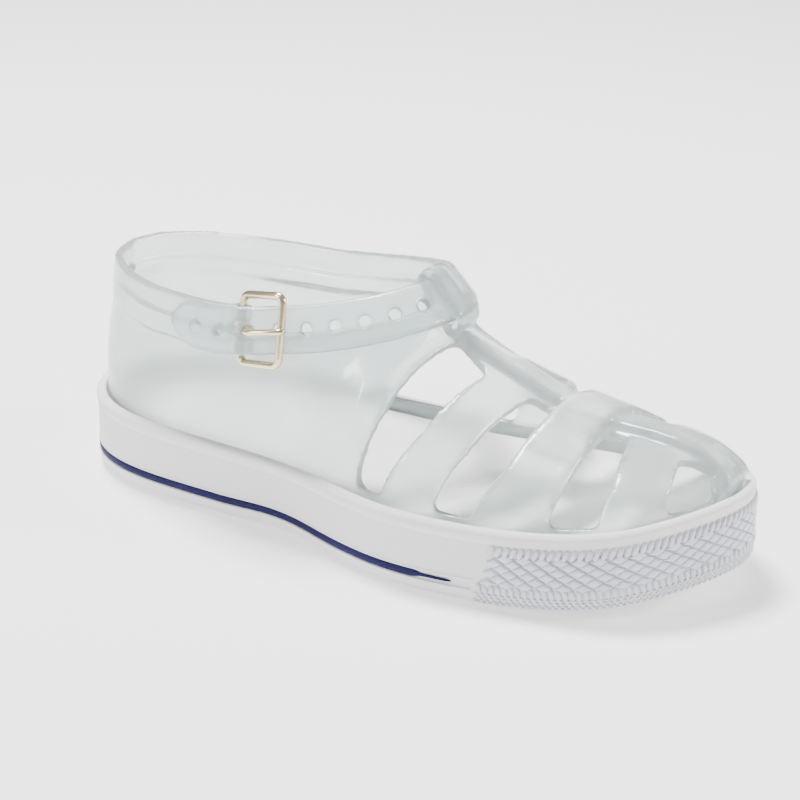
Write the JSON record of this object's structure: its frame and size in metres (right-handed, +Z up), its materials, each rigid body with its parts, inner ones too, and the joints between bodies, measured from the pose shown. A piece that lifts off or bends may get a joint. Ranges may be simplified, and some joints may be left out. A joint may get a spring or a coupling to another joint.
{
  "type": "child's jelly sandal",
  "caption": "Child's moulded clear jelly sandal with a cup sole, woven-look straps, a bar over the instep and a buckled ankle strap, for the right foot.",
  "frame": {"origin": "on the ground, under the middle of the shoe's bounding box", "axes": "+X to the toe, +Y to the inner side of the foot, +Z up"},
  "size_m": [0.1774, 0.068, 0.0643],
  "materials": {
    "sole_white": "satin white with moulded ribs and diamonds",
    "footbed": "off-white footbed with faint cross grooves",
    "stripe_navy": "navy stripe in a groove",
    "clear_upper": "clear soft plastic, cool grey-green tint",
    "clear_strap": "clear soft plastic, cool grey-green tint",
    "buckle_metal": "polished pale gold wire",
    "prong_metal": "polished pale gold wire"
  },
  "bodies": {
    "root": {"sole": "sole_white", "insole": "footbed", "pinstripe": "stripe_navy", "upper": "clear_upper", "ankle_strap": "clear_strap", "buckle_frame": "buckle_metal", "buckle_prong": "prong_metal"}
  },
  "joints": []
}
